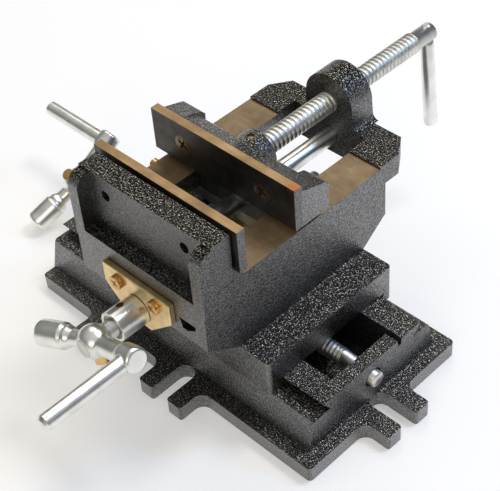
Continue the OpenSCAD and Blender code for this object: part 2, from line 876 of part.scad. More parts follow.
// The boss of the clamp screw, seen along Y, with fillets to the slab
module boss_outline() {
  foot = bed_z + cast_step;
  boss_w = 2 * (boss_r + boss_flare);
  translate([0, clamp_z]) circle(boss_r);
  translate([-boss_w / 2, foot - cut]) square([boss_w, clamp_z - foot + cut]);
  for (side = [-1, 1])
    translate([side * boss_w / 2, foot]) scale([side, 1]) fillet_corner(boss_fillet);
}

// A gusset beside the front pocket: it falls from the fixed jaw's top to the front in a round
module gusset_outline() {
  front = front_y + 1;
  top = fixed_top - gusset_drop;
  fall = (wall_front - front) * 0.8;
  polygon(concat([[wall_front + cut, shelf_z], [wall_front + cut, top]],
    arc(front + fall, top - fall, fall, 90, 180), [[front, shelf_z]]));
}

// The female cross dovetail, with room for the gib on the left
module cross_room() {
  top = cross_w / 2;
  root = cross_w / 2 - cross_lean;
  gap = slide_gap * 2;
  above = cross_z + slide_gap * 3;
  polygon([[-root - gap - gib_t, saddle_z - cut], [root + gap, saddle_z - cut], [root + gap, saddle_z],
    [top + gap, cross_z], [top + gap, above], [-top - gap - gib_t, above],
    [-top - gap - gib_t, cross_z], [-root - gap - gib_t, saddle_z]]);
}

module vise_bed() {
  color(paint) on_vise() difference() {
    union() {
      along_x(-side_w / 2, side_w / 2) bed_side_outline();
      translate([0, 0, slab_z]) linear_extrude(slab_t) slab_outline();
      // the rough cast part behind the machined rails
      intersection() {
        translate([0, 0, slab_z]) linear_extrude(slab_t + cast_step) slab_outline();
        span(bed_w, rails_end_y, rear_y, slab_z, bed_z + cast_step);
      }
      along_y(window_rear, rear_y + boss_proud) boss_outline();
      span(rod_block_w, window_rear, rear_y, slab_z - rod_block_drop, bed_z);
    }
    // the shelf that carries the fixed jaw
    span(2 * bed_w, front_y - cut, seat_y, shelf_z, bed_z + cut);
    // window between the bed rails and the cavity below it, open at the rear
    span(window_w, window_front, window_rear, saddle_z, bed_z + 2 * cast_step);
    difference() {
      span(cavity_w, cavity_front, heel_y + cut, cross_z, slab_z);
      span(rod_seat_w, cavity_front - cut, window_front, slab_z - rod_block_drop, slab_z + cut);
    }
    along_y(-saddle_w, saddle_w) cross_room();
    // notch for the Y lead screw, open from below
    translate([0, 0, y_axis_z]) bar_y(front_y - cut, cavity_front + cut, 2 * notch_r);
    span(2 * notch_r, front_y - cut, cavity_front + cut, saddle_z - cut, y_axis_z);
    // bores of the clamp screw and the guide rod
    translate([0, 0, clamp_z]) bar_y(window_rear - cut, rear_y + boss_proud + cut, clamp_d + 2 * turn_gap);
    rod_bore();
    // threaded hole of the lock screw, in the slab's left edge
    at_lock_screw() bar_x(-cut, lock_l + thread_end_gap, lock_d + 2 * press_gap);
    // threaded holes of the gib screws, through the left wall
    at_bed_gib_screws() bar_x(-side_w, -cross_w / 2 + cross_lean, gib_screw_d + 2 * press_gap);
    // threaded holes of the bearing plate's screws
    translate([0, y_plate_face, y_axis_z]) rotate([90, 0, 0]) bearing_screw_places(1)
      translate([0, 0, -bearing_t - bearing_thread_l])
        cylinder(h = bearing_thread_l + cut, d = bearing_screw_d);
  }
}

// The blind bore of the guide rod
module rod_bore() {
  translate([0, 0, rod_z])
    bar_y(cavity_front + rod_front_wall, rear_y - rod_rear_wall, rod_d + 2 * press_gap);
}

// The fixed jaw on its shelf: wall, seat below its plate, gussets and the pocket between them
module fixed_jaw_casting() {
  color(paint) on_vise() difference() {
    union() {
      span(bed_w, front_y, seat_y, shelf_z, bed_z);
      span(fixed_w, wall_front, fixed_back, shelf_z, fixed_top);
      span(bed_w, fixed_back - cut, seat_y, shelf_z, plate_low);
      for (side = [0, 1]) mirror([side, 0, 0])
        along_x(bed_w / 2 - gusset_t, bed_w / 2) gusset_outline();
    }
    span(bed_w - 2 * gusset_t, front_y - cut, wall_front, shelf_z - cut, fixed_top + cut);
    // relief groove behind the fixed jaw plate
    span(2 * bed_w, fixed_back - relief, fixed_back, relief_low, fixed_top + cut);
    rod_bore();
    // threaded holes of the jaw plate's screws
    at_plate_screws() bar_y(wall_front - cut, fixed_back + cut, plate_screw_d + 2 * press_gap);
  }
}

// The lock screw's place on the slab's left edge, pointing inwards along +X
module at_lock_screw() {
  translate([-bed_w / 2, lock_y, bed_z - lock_drop]) children();
}

module bed_lock_screw() {
  color(zinc_yellow) on_vise() at_lock_screw() {
    bar_x(-lock_head_t, 0, lock_head_d);
    bar_x(0, lock_l, lock_d);
  }
}

module at_plate_screws() {
  for (side = [-1, 1]) translate([side * plate_screw_x, 0, plate_mid_z]) children();
}

module at_bed_gib_screws() {
  for (y = bed_gib_ys) translate([0, y, bed_gib_z]) children();
}

// A jaw plate with its gripping face towards +Y at Y = 0
module jaw_plate() {
  head_t = (plate_head_d - plate_screw_d) / 2;
  difference() {
    span(plate_w, -plate_t, 0, plate_low, plate_top);
    at_plate_screws() {
      bar_y(-plate_t - cut, cut, plate_screw_d + 2 * press_gap);
      translate([0, -head_t, 0]) rotate([-90, 0, 0])
        cylinder(h = head_t + cut, d1 = plate_screw_d + 4 * press_gap,
          d2 = plate_head_d + 4 * press_gap + 2 * cut);
    }
  }
}

// Countersunk screws for a jaw plate, flush with its face
module plate_screws(l) {
  head_t = (plate_head_d - plate_screw_d) / 2;
  at_plate_screws() {
    bar_y(-l, -head_t, plate_screw_d);
    translate([0, -head_t, 0]) rotate([-90, 0, 0])
      cylinder(h = head_t, d1 = plate_screw_d, d2 = plate_head_d);
  }
}

module at_fixed_face() {
  on_vise() translate([0, grip_y, 0]) children();
}

// The moving jaw's plate faces the fixed one
module at_moving_face() {
  on_vise() translate([0, moving_face, 0]) rotate(180) children();
}

module fixed_jaw_plate() {
  color(dark_steel) at_fixed_face() jaw_plate();
}

module fixed_plate_screws() {
  color(machined) at_fixed_face() plate_screws(plate_screw_l);
}

module moving_jaw_plate() {
  color(dark_steel) at_moving_face() jaw_plate();
}

module moving_plate_screws() {
  color(machined) at_moving_face() plate_screws(moving_screw_l);
}

module bed_gib() {
  low = saddle_z + slide_gap;
  high = cross_z - slide_gap;
  lean = cross_lean * (high - low) / cross_h;
  inner = cross_w / 2 + slide_gap - cross_lean * (cross_z - high) / cross_h;
  color(steel) on_vise() along_y(-saddle_w / 2 + gib_end_gap, saddle_w / 2 - gib_end_gap)
    scale([-1, 1]) gib_outline(inner, lean, low, high);
}

// Where the outer side of the bed's gib lies, at the height of its screws
bed_gib_face = cross_w / 2 + slide_gap + gib_t - cross_lean * (cross_z - bed_gib_z) / cross_h;

module bed_gib_screws() {
  reach = gib_screw_d / 2 * cross_lean / cross_h;
  color(steel) on_vise() at_bed_gib_screws()
    bar_x(-side_w / 2 - gib_nut_t - 2, -bed_gib_face - reach - press_gap, gib_screw_d);
}

module bed_gib_locknuts() {
  color(steel) on_vise() at_bed_gib_screws()
    translate([-side_w / 2, 0, 0]) rotate([0, -90, 0]) gib_locknut();
}

module guide_rod() {
  color(steel) on_vise() translate([0, 0, rod_z]) bar_y(cavity_front + rod_front_wall + rod_end_gap,
    rear_y - rod_rear_wall - rod_end_gap, rod_d);
}

// The moving jaw from above its foot, seen along X: its top falls to the back
module jaw_side_outline(depth) {
  fall = jaw_top_fall * depth / end_lug_t;
  polygon([[moving_front, plate_low], [moving_front + depth, plate_low],
    [moving_front + depth, jaw_top_front - fall - cast_r],
    [moving_front + depth - cast_r, jaw_top_front - fall], [moving_front, jaw_top_front]]);
}

module moving_jaw_casting() {
  color(paint) on_vise() difference() {
    union() {
      along_x(-plate_w / 2, plate_w / 2) jaw_side_outline(web_t);
      for (side = [0, 1]) mirror([side, 0, 0])
        along_x(plate_w / 2 - end_lug_w, plate_w / 2) jaw_side_outline(end_lug_t);
      translate([0, 0, clamp_z]) bar_y(moving_front + 2, boss_end, 2 * jaw_boss_r);
      span(jaw_foot_w, moving_front + 1, moving_front + foot_t, bed_z + slide_gap, plate_low + cut);
      span(tongue_w, moving_front + 1, moving_front + foot_t, tongue_low, bed_z + cut);
    }
    // bore of the clamp screw's tip
    translate([0, 0, clamp_z]) bar_y(tip_end - 1, boss_end + cut, clamp_tip_d + 2 * turn_gap);
    // hole of the retaining pin
    translate([0, groove_y, clamp_z]) cylinder(h = plate_h, d = pin_d + 2 * press_gap);
    translate([0, 0, rod_z]) bar_y(moving_front, moving_front + foot_t + cut, rod_d + 4 * turn_gap);
    // threaded holes of the jaw plate's and the keeper's screws
    at_plate_screws() bar_y(moving_front - cut, moving_front + moving_screw_l - plate_t + 1,
      plate_screw_d + 2 * press_gap);
    at_keeper_screws() translate([0, 0, tongue_low - cut])
      cylinder(h = slab_t + cut, d = keeper_screw_d + 2 * press_gap);
  }
}

module at_keeper_screws() {
  for (side = [-1, 1]) translate([side * keeper_screw_x, moving_front + foot_t / 2, 0]) children();
}

// The keeper plate hooks under the bed rails
module jaw_keeper_plate() {
  color(steel) on_vise() difference() {
    span(keeper_w, moving_front + 1, moving_front + foot_t, keeper_low, tongue_low);
    translate([0, 0, rod_z]) bar_y(moving_front, moving_front + foot_t + cut, rod_d + 4 * turn_gap);
    at_keeper_screws() translate([0, 0, keeper_low - cut]) {
      cylinder(h = keeper_t + 2 * cut, d = keeper_screw_d + 2 * press_gap);
      cylinder(h = keeper_head_t + cut, d = keeper_head_d + 2 * press_gap);
    }
  }
}

module jaw_keeper_screws() {
  color(dark_steel) on_vise() at_keeper_screws() translate([0, 0, keeper_low]) {
    cylinder(h = keeper_head_t, d = keeper_head_d);
    cylinder(h = keeper_t + slab_t - 1, d = keeper_screw_d);
  }
}

// The pin's tip runs in the groove of the clamp screw
module screw_retaining_pin() {
  low = clamp_z + groove_d / 2 + 2 * turn_gap;
  high = clamp_z + jaw_boss_r - 1;
  color(dark_steel) on_vise() translate([0, groove_y, low]) cylinder(h = high - low, d = pin_d);
}

// The clamp screw's axis, turned so that its bar leans a little
module clamp_place() {
  on_vise() translate([0, 0, clamp_z]) rotate([0, -bar_lean, 0]) children();
}

module clamp_screw() {
  color(steel) clamp_place() difference() {
    union() {
      bar_y(tip_end, groove_y - groove_w / 2, clamp_tip_d);
      bar_y(tip_end, boss_end, groove_d);
      bar_y(groove_y + groove_w / 2, boss_end + 1, clamp_tip_d);
      bar_y(boss_end + sleeve_gap, thread_end, clamp_d);
      bar_y(thread_end, head_end, clamp_head_d);
    }
    translate([0, bar_at, -clamp_head_d]) cylinder(h = 2 * clamp_head_d, d = bar_neck_d + 2 * press_gap);
  }
}

// The bar hangs from the head by its neck, which is peened over on top
module clamp_handle() {
  under = clamp_head_d / 2 + press_gap;
  bevel = bar_d / 6;
  color(steel) clamp_place() translate([0, bar_at, 0]) rotate_extrude() polygon([
    [0, -bar_reach], [bar_d / 2 - bevel, -bar_reach], [bar_d / 2, -bar_reach + bevel],
    [bar_d / 2, -under - bevel], [bar_d / 2 - bevel, -under], [bar_neck_d / 2, -under],
    [bar_neck_d / 2, under], [bar_peen_d / 2, under], [bar_peen_d / 2 - bevel, under + bar_peen_t],
    [0, under + bar_peen_t]]);
}

base_casting();
x_bearing_plate();
x_plate_screws();
x_lead_screw();
x_coupling_sleeve();
x_sleeve_pin();
x_crank();
x_crank_handle();
x_crank_screw();
saddle_casting();
x_nut();
y_nut();
y_nut_screws();
saddle_gib();
saddle_gib_screws();
saddle_gib_locknuts();
vise_bed();
fixed_jaw_casting();
fixed_jaw_plate();
fixed_plate_screws();
y_bearing_plate();
y_plate_screws();
bed_lock_screw();
bed_gib();
bed_gib_screws();
bed_gib_locknuts();
guide_rod();
y_lead_screw();
y_coupling_sleeve();
y_sleeve_pin();
y_crank();
y_crank_handle();
y_crank_screw();
moving_jaw_casting();
moving_jaw_plate();
moving_plate_screws();
jaw_keeper_plate();
jaw_keeper_screws();
screw_retaining_pin();
clamp_screw();
clamp_handle();
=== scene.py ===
"""Looks of the cross slide vise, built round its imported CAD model."""
import json
import math

import bpy
from mathutils import Matrix, Vector


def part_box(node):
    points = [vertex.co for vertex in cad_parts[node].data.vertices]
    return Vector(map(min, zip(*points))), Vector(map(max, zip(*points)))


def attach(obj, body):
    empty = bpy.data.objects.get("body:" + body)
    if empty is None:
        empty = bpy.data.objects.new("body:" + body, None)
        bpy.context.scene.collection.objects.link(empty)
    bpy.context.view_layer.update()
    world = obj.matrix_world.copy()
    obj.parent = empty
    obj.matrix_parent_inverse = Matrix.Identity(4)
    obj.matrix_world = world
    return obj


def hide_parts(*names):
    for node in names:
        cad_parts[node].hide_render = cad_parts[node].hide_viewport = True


MM = 0.001
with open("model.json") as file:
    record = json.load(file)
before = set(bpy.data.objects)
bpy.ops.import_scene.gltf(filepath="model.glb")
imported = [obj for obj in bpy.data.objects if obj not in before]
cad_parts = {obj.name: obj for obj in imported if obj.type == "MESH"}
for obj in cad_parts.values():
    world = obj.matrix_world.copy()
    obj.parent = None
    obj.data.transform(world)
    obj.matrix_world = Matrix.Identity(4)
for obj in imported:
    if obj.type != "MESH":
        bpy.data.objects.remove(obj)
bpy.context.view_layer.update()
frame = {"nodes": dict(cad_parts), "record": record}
nodes = frame["nodes"]

# The photograph's frame and the camera that took it
PHOTO_W = 500
SENSOR = 36.0
FOCAL_PX = 1317.0
CAMERA_AT = Vector((383.5, -334.7, 534.4)) * MM
CAMERA_YAW = math.radians(137.98)
CAMERA_PITCH = math.radians(43.27)
CAMERA_ROLL = math.radians(-4.98)

# Sizes and places taken over from the CAD model and its record
BODY_X = 3.7 * MM
BED_TOP = 98.1 * MM
RAILS_TO = 59.2 * MM
BOSS_Z = 111.6 * MM
BOSS_R = 16.3 * MM
BOSS_FLANK = 16.8 * MM
FRONT_Y = -67 * MM
GUSSET_Y = -66 * MM
CLAMP_PITCH = 3.0 * MM
CLAMP_R = 6.0 * MM
CLAMP_NECK_R = 5.0 * MM
CLAMP_NECK_L = 17 * MM
CLAMP_HEAD_R = 5.2 * MM
CLAMP_HEAD_L = 16 * MM
LEAD_PITCH = 2.5 * MM
LEAD_R = 5.0 * MM
LEAD_JOURNAL_R = 4.5 * MM
BAR_R = 4.0 * MM
BAR_NECK_R = 2.5 * MM
BAR_REACH = 61.3 * MM
BAR_LEAN = math.radians(5)
BEARING_SPREAD = 13.5 * MM
JAW_SCREW_SPREAD = 28 * MM
# The middle between the faces of each pair of screw heads
Y_PLATE_SCREWS = Vector((3.7, -72.9, 76.5)) * MM
X_PLATE_SCREWS = Vector((-110.4, 0, 13.5)) * MM
MOVING_PLATE_SCREWS = Vector((3.7, -7.0, 116.6)) * MM
FIXED_PLATE_SCREWS = Vector((3.7, -40.3, 116.6)) * MM

# Sizes that only the looks need
CAST_EDGE = 1.3 * MM
PLATE_EDGE = 0.35 * MM
BRASS_EDGE = 0.5 * MM
SLEEVE_EDGE = 0.5 * MM
DOMED_EDGE = 0.9 * MM
PAN_EDGE = 0.8 * MM
FLUSH_EDGE = 0.15 * MM
# Width and depth of the screw heads' cross recesses, and their turn in radians
PAN_RECESS = (4.6 * MM, 1.0 * MM)
FLUSH_RECESS = (6.5 * MM, 1.2 * MM)
RECESS_TURN = 0.5
FORGED_SKIN = 0.45 * MM
FORGED_PASSES = 6
THREAD_DEPTH = 0.9 * MM
RINGS_PER_PITCH = 12
# Edges sharper than these stay sharp to the eye
THREAD_SHADE = math.radians(75)
BAR_SHADE = math.radians(40)
# Plain lengths at the crank's end and the inner ends of the lead screws
LEAD_BEARING_L = 43 * MM
X_JOURNAL_L = 23 * MM
Y_JOURNAL_L = 3 * MM
# The bare rails start here, and the flanks that are blended lie behind this place
RAILS_FROM = -40.0 * MM
BOSS_FRONT = 71 * MM
# A groove's half width at the crest, as a share of the pitch
GROOVE_SHARE = 0.24
# An edge is fully rounded where the shortest edge at its ends is this many widths long
ROUNDING_ROOM = 2.2
# A CAD vertex counts as lying at a named place within this distance
NEAR = 0.1 * MM
# The recess in the front face: its depth, and its corners' X and Z in millimetres
CORNER_DEPTH = 4 * MM
DOVETAIL_CORNER = [(31, 76.5), (42.5, 76.5), (42.5, 74), (36.5, 70), (33, 70)]

# Sizes of the finishes' patterns
PAINT_GRAIN = 0.85 * MM
PAINT_RELIEF = 0.7 * MM
CUTTER_MARK = 1.1 * MM
OIL_STAIN = 15 * MM
SMOKE_CLOUD = 16 * MM
RUST_SPOT = Vector((51.5, -4.5, 129.4)) * MM
TURNING_MARK = 0.7 * MM
GREY_BLOOM = 7 * MM
FILE_MARK = 0.8 * MM
TARNISH = 6 * MM


def srgb(code):
    """A hex colour as linear red, green, blue and alpha."""
    def linear(v):
        return v / 12.92 if v <= 0.04045 else ((v + 0.055) / 1.055) ** 2.4
    parts = [int(code[i:i + 2], 16) / 255 for i in (1, 3, 5)]
    return (*[linear(v) for v in parts], 1.0)


# Materials


def wire(tree, node, inputs):
    """Fills a node's inputs; each takes a value or another node's output."""
    for key, value in inputs.items():
        if isinstance(value, bpy.types.NodeSocket):
            tree.links.new(value, node.inputs[key])
        else:
            node.inputs[key].default_value = value


def add(tree, kind, inputs=None, stops=None, **settings):
    """Adds a node with its settings, its inputs and the stops of its colour ramp."""
    made = tree.nodes.new(kind)
    for key, value in settings.items():
        setattr(made, key, value)
    wire(tree, made, inputs or {})
    for index, (at, colour) in enumerate(stops or []):
        points = made.color_ramp.elements
        point = points[index] if index < 2 else points.new(at)
        point.position = at
        point.color = srgb(colour)
    return made


def new_finish(name):
    """A material with its tree, its shader and the object coordinates that its patterns read."""
    material = bpy.data.materials.new(name)
    material.use_nodes = True
    tree = material.node_tree
    place = add(tree, "ShaderNodeTexCoord")
    return material, tree, tree.nodes["Principled BSDF"], place


def hammer_paint(tree, place):
    """Charcoal hammer-finish enamel: metallic paint with its own speckled grain; upward faces get a
    contrasty tone whose bright specks are painted glints, side faces a flatter, lighter grey that is
    painted side light.

    Gives the grain, how level the face lies, and the colour."""
    spot = place.outputs["Object"]
    grain = add(tree, "ShaderNodeTexNoise", {"Vector": spot, "Scale": 1 / PAINT_GRAIN, "Detail": 2.0,
                                             "Roughness": 0.55})
    # Painted glints: on upward faces the grain runs from near-black to bright specks that stand in for
    # glints of light.
    top_glint_tone = add(tree, "ShaderNodeValToRGB", {"Fac": grain.outputs["Fac"]},
                 stops=[(0.42, "#0c0c0c"), (0.67, "#b3aea2"), (0.54, "#3e3d3b")])
    # Painted side light: side faces get a flatter, lighter grey that stands in for the light falling on
    # them.
    side_light_tone = add(tree, "ShaderNodeValToRGB", {"Fac": grain.outputs["Fac"]},
                  stops=[(0.34, "#454544"), (0.70, "#929190")])
    facing = add(tree, "ShaderNodeSeparateXYZ", {"Vector": place.outputs["Normal"]})
    level = add(tree, "ShaderNodeMapRange", {"Value": facing.outputs["Z"], "From Min": 0.35,
                                             "From Max": 0.85})
    tone = add(tree, "ShaderNodeMix", {0: level.outputs[0], 6: side_light_tone.outputs["Color"],
                                       7: top_glint_tone.outputs["Color"]}, data_type="RGBA")
    return grain.outputs["Fac"], level.outputs[0], tone.outputs[2]


def paint_relief(tree, grain, level):
    """The height of the paint's beads, flatter where the paint ran off.

    The beads are drawn deeper than real ones, so that they show."""
    depth = add(tree, "ShaderNodeMapRange", {"Value": level, "To Min": 0.55, "To Max": 1.0})
    height = add(tree, "ShaderNodeMath", {0: grain, 1: depth.outputs[0]}, operation="MULTIPLY")
    return height.outputs[0]


def paint_finish(name):
    """Hammer enamel under a clear coat, which gives the beads their wet glint."""
    material, tree, shader, place = new_finish(name)
    grain, level, tone = hammer_paint(tree, place)
    height = paint_relief(tree, grain, level)
    bump = add(tree, "ShaderNodeBump", {"Height": height, "Strength": 1.0, "Distance": PAINT_RELIEF})
    wire(tree, shader, {"Base Color": tone, "Metallic": 0.95, "Roughness": 0.24, "Coat Weight": 0.6,
                        "Coat Roughness": 0.12, "Coat Normal": bump.outputs["Normal"],
                        "Normal": bump.outputs["Normal"]})
    return material


def milled_iron(tree, place, across):
    """Milled or ground iron browned by oil: cutter marks along one axis over tan stains.

    The marks are drawn coarser than real ones, so that they show."""
    spot = place.outputs["Object"]
    drawn = add(tree, "ShaderNodeMapping", {"Vector": spot, "Scale": across})
    marks = add(tree, "ShaderNodeTexNoise", {"Vector": drawn.outputs["Vector"], "Scale": 1 / CUTTER_MARK,
                                             "Detail": 5.0, "Roughness": 0.7})
    stain = add(tree, "ShaderNodeTexNoise", {"Vector": spot, "Scale": 1 / OIL_STAIN, "Detail": 5.0,
                                             "Roughness": 0.6})
    tan = add(tree, "ShaderNodeValToRGB", {"Fac": stain.outputs["Fac"]},
              stops=[(0.30, "#7a6446"), (0.72, "#ad9470"), (0.5, "#957b55")])
    worn = add(tree, "ShaderNodeMapRange", {"Value": marks.outputs["Fac"], "From Min": 0.35,
                                            "From Max": 0.75, "To Max": 0.55})
    colour = add(tree, "ShaderNodeMix", {0: worn.outputs[0], 6: tan.outputs["Color"], 7: srgb("#5a4d3d")},
                 data_type="RGBA")
    return marks.outputs["Fac"], colour.outputs[2]


def bed_finish(name):
    """Hammer paint, with bare milled rails on the bed's upper face."""
    material, tree, shader, place = new_finish(name)
    grain, lying, tone = hammer_paint(tree, place)
    height = paint_relief(tree, grain, lying)
    marks, bare = milled_iron(tree, place, (0.08, 1.0, 1.0))
    spot = add(tree, "ShaderNodeSeparateXYZ", {"Vector": place.outputs["Object"]})
    facing = add(tree, "ShaderNodeSeparateXYZ", {"Vector": place.outputs["Normal"]})
    level = add(tree, "ShaderNodeMath", {0: spot.outputs["Z"], 1: BED_TOP, 2: 0.25 * MM},
                operation="COMPARE")
    ahead = add(tree, "ShaderNodeMath", {0: spot.outputs["Y"], 1: RAILS_FROM}, operation="GREATER_THAN")
    behind = add(tree, "ShaderNodeMath", {0: spot.outputs["Y"], 1: RAILS_TO}, operation="LESS_THAN")
    up = add(tree, "ShaderNodeMath", {0: facing.outputs["Z"], 1: 0.95}, operation="GREATER_THAN")
    between = add(tree, "ShaderNodeMath", {0: ahead.outputs[0], 1: behind.outputs[0]}, operation="MULTIPLY")
    flat = add(tree, "ShaderNodeMath", {0: level.outputs[0], 1: up.outputs[0]}, operation="MULTIPLY")
    milled = add(tree, "ShaderNodeMath", {0: between.outputs[0], 1: flat.outputs[0]}, operation="MULTIPLY")
    colour = add(tree, "ShaderNodeMix", {0: milled.outputs[0], 6: tone, 7: bare}, data_type="RGBA")
    fine = add(tree, "ShaderNodeMath", {0: marks, 1: 0.08}, operation="MULTIPLY")
    relief = add(tree, "ShaderNodeMix", {0: milled.outputs[0], 2: height, 3: fine.outputs[0]})
    bump = add(tree, "ShaderNodeBump", {"Height": relief.outputs[0], "Strength": 1.0,
                                        "Distance": PAINT_RELIEF})
    rough = add(tree, "ShaderNodeMapRange", {"Value": milled.outputs[0], "To Min": 0.24, "To Max": 0.6})
    metal = add(tree, "ShaderNodeMapRange", {"Value": milled.outputs[0], "To Min": 0.95, "To Max": 0.2})
    wire(tree, shader, {"Base Color": colour.outputs[2], "Metallic": metal.outputs[0],
                        "Roughness": rough.outputs[0], "Normal": bump.outputs["Normal"]})
    return material


def jaw_finish(name):
    """Ground tool steel: blackened faces, a worn brown top, painted ends and one spot of rust."""
    material, tree, shader, place = new_finish(name)
    marks, bare = milled_iron(tree, place, (0.05, 1.0, 1.0))
    facing = add(tree, "ShaderNodeSeparateXYZ", {"Vector": place.outputs["Normal"]})
    top = add(tree, "ShaderNodeMath", {0: facing.outputs["Z"], 1: 0.5}, operation="GREATER_THAN")
    cloud = add(tree, "ShaderNodeTexNoise", {"Vector": place.outputs["Object"], "Scale": 1 / SMOKE_CLOUD,
                                             "Detail": 6.0, "Roughness": 0.65})
    smoke = add(tree, "ShaderNodeValToRGB", {"Fac": cloud.outputs["Fac"]},
                stops=[(0.35, "#2a2826"), (0.75, "#5c5650")])
    colour = add(tree, "ShaderNodeMix", {0: top.outputs[0], 6: smoke.outputs["Color"], 7: bare},
                 data_type="RGBA")
    sideways = add(tree, "ShaderNodeMath", {0: facing.outputs["X"], 1: 0.0}, operation="ABSOLUTE")
    end = add(tree, "ShaderNodeMath", {0: sideways.outputs[0], 1: 0.6}, operation="GREATER_THAN")
    tone = hammer_paint(tree, place)[2]
    painted = add(tree, "ShaderNodeMix", {0: end.outputs[0], 6: colour.outputs[2], 7: tone},
                  data_type="RGBA")
    apart = add(tree, "ShaderNodeVectorMath", {0: place.outputs["Object"], 1: RUST_SPOT},
                operation="DISTANCE")
    spread = add(tree, "ShaderNodeMath", {0: cloud.outputs["Fac"], 1: 5 * MM, 2: apart.outputs["Value"]},
                 operation="MULTIPLY_ADD")
    rusty = add(tree, "ShaderNodeMapRange", {"Value": spread.outputs[0], "From Min": 4 * MM,
                                             "From Max": 6 * MM, "To Min": 0.8, "To Max": 0.0})
    rusted = add(tree, "ShaderNodeMix", {0: rusty.outputs[0], 6: painted.outputs[2], 7: srgb("#a3602c")},
                 data_type="RGBA")
    bump = add(tree, "ShaderNodeBump", {"Height": marks, "Strength": 0.3, "Distance": 0.06 * MM})
    wire(tree, shader, {"Base Color": rusted.outputs[2], "Metallic": 0.8, "Roughness": 0.42,
                        "Normal": bump.outputs["Normal"]})
    return material


def bright_finish(name, light, dark, roughness):
    """Plated or turned steel: a clean mirror broken by fine marks and a faint grey bloom.

    The marks are drawn coarser than real ones, so that they show."""
    material, tree, shader, place = new_finish(name)
    spot = place.outputs["Object"]
    marks = add(tree, "ShaderNodeTexNoise", {"Vector": spot, "Scale": 1 / TURNING_MARK, "Detail": 4.0,
                                             "Roughness": 0.65})
    bloom = add(tree, "ShaderNodeTexNoise", {"Vector": spot, "Scale": 1 / GREY_BLOOM, "Detail": 4.0})
    colour = add(tree, "ShaderNodeValToRGB", {"Fac": bloom.outputs["Fac"]},
                 stops=[(0.35, dark), (0.7, light)])
    rough = add(tree, "ShaderNodeMapRange", {"Value": bloom.outputs["Fac"], "To Min": roughness,
                                             "To Max": roughness + 0.12})
    bump = add(tree, "ShaderNodeBump", {"Height": marks.outputs["Fac"], "Strength": 0.12,
                                        "Distance": 0.05 * MM})
    wire(tree, shader, {"Base Color": colour.outputs["Color"], "Metallic": 1.0,
                        "Roughness": rough.outputs[0], "Normal": bump.outputs["Normal"]})
    return material


def filed_finish(name, light, dark):
    """Filed metal, brighter where the file ran and browned in the hollows.

    The file marks are drawn coarser than real ones, so that they show."""
    material, tree, shader, place = new_finish(name)
    spot = place.outputs["Object"]
    tarnish = add(tree, "ShaderNodeTexNoise", {"Vector": spot, "Scale": 1 / TARNISH, "Detail": 5.0,
                                               "Roughness": 0.6})
    scratch = add(tree, "ShaderNodeTexNoise", {"Vector": spot, "Scale": 1 / FILE_MARK, "Detail": 4.0,
                                               "Roughness": 0.7})
    colour = add(tree, "ShaderNodeValToRGB", {"Fac": tarnish.outputs["Fac"]},
                 stops=[(0.3, dark), (0.65, light)])
    bump = add(tree, "ShaderNodeBump", {"Height": scratch.outputs["Fac"], "Strength": 0.2,
                                        "Distance": 0.08 * MM})
    wire(tree, shader, {"Base Color": colour.outputs["Color"], "Metallic": 1.0, "Roughness": 0.3,
                        "Normal": bump.outputs["Normal"]})
    return material


# Modelling helpers


def deselect():
    if bpy.context.object and bpy.context.object.mode != "OBJECT":
        bpy.ops.object.mode_set(mode="OBJECT")
    bpy.ops.object.select_all(action="DESELECT")


def activate(piece):
    deselect()
    piece.select_set(True)
    bpy.context.view_layer.objects.active = piece


def dress(piece, material):
    piece.data.materials.clear()
    piece.data.materials.append(material)


def body_of_node(node):
    for body, names in frame["record"]["behaviour"]["bodies"].items():
        if node in names:
            return body
    raise KeyError(node)


def stand_for(piece, node, material):
    """Lets a finished piece stand for a CAD node, on its body and with its material slot."""
    dress(piece, material)
    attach(piece, body_of_node(node))
    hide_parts(node)


def apply_all(piece):
    activate(piece)
    for modifier in list(piece.modifiers):
        bpy.ops.object.modifier_apply(modifier=modifier.name)


def copy_of(node, name):
    """A merged copy of a CAD node's mesh, with its flat faces joined again."""
    activate(nodes[node])
    bpy.ops.object.duplicate()
    piece = bpy.context.object
    piece.name = name
    piece.data.name = name
    join_flat_faces(piece)
    return piece


def join_flat_faces(piece):
    """Merges doubled vertices and dissolves the edges that lie inside flat faces."""
    activate(piece)
    bpy.ops.object.mode_set(mode="EDIT")
    bpy.ops.mesh.select_all(action="SELECT")
    bpy.ops.mesh.remove_doubles(threshold=0.004 * MM)
    bpy.ops.mesh.dissolve_limited(angle_limit=math.radians(0.5))
    bpy.ops.object.mode_set(mode="OBJECT")


def combine(piece, other, operation):
    """Joins another shape to a piece or cuts it out of it, and takes the other shape away."""
    activate(piece)
    modifier = piece.modifiers.new("combine", "BOOLEAN")
    modifier.operation = operation
    modifier.solver = "EXACT"
    modifier.object = other
    bpy.ops.object.modifier_apply(modifier=modifier.name)
    bpy.data.objects.remove(other, do_unlink=True)


def share_rounding(mesh, width, angle):
    """Weighs every edge sharper than an angle by the room that the edges at its ends leave."""
    sides = {}
    for face in mesh.polygons:
        for key in face.edge_keys:
            sides.setdefault(key, []).append(face.normal)
    shortest = {}
    for edge in mesh.edges:
        start, end = [mesh.vertices[index].co for index in edge.vertices]
        for index in edge.vertices:
            shortest[index] = min((start - end).length, shortest.get(index, math.inf))
    weight = mesh.attributes.new("bevel_weight_edge", "FLOAT", "EDGE")
    for edge in mesh.edges:
        normals = sides.get(edge.key, [])
        if len(normals) == 2 and normals[0].angle(normals[1], 0.0) > angle:
            room = min(shortest[index] for index in edge.vertices)
            weight.data[edge.index].value = min(1.0, room / (ROUNDING_ROOM * width))


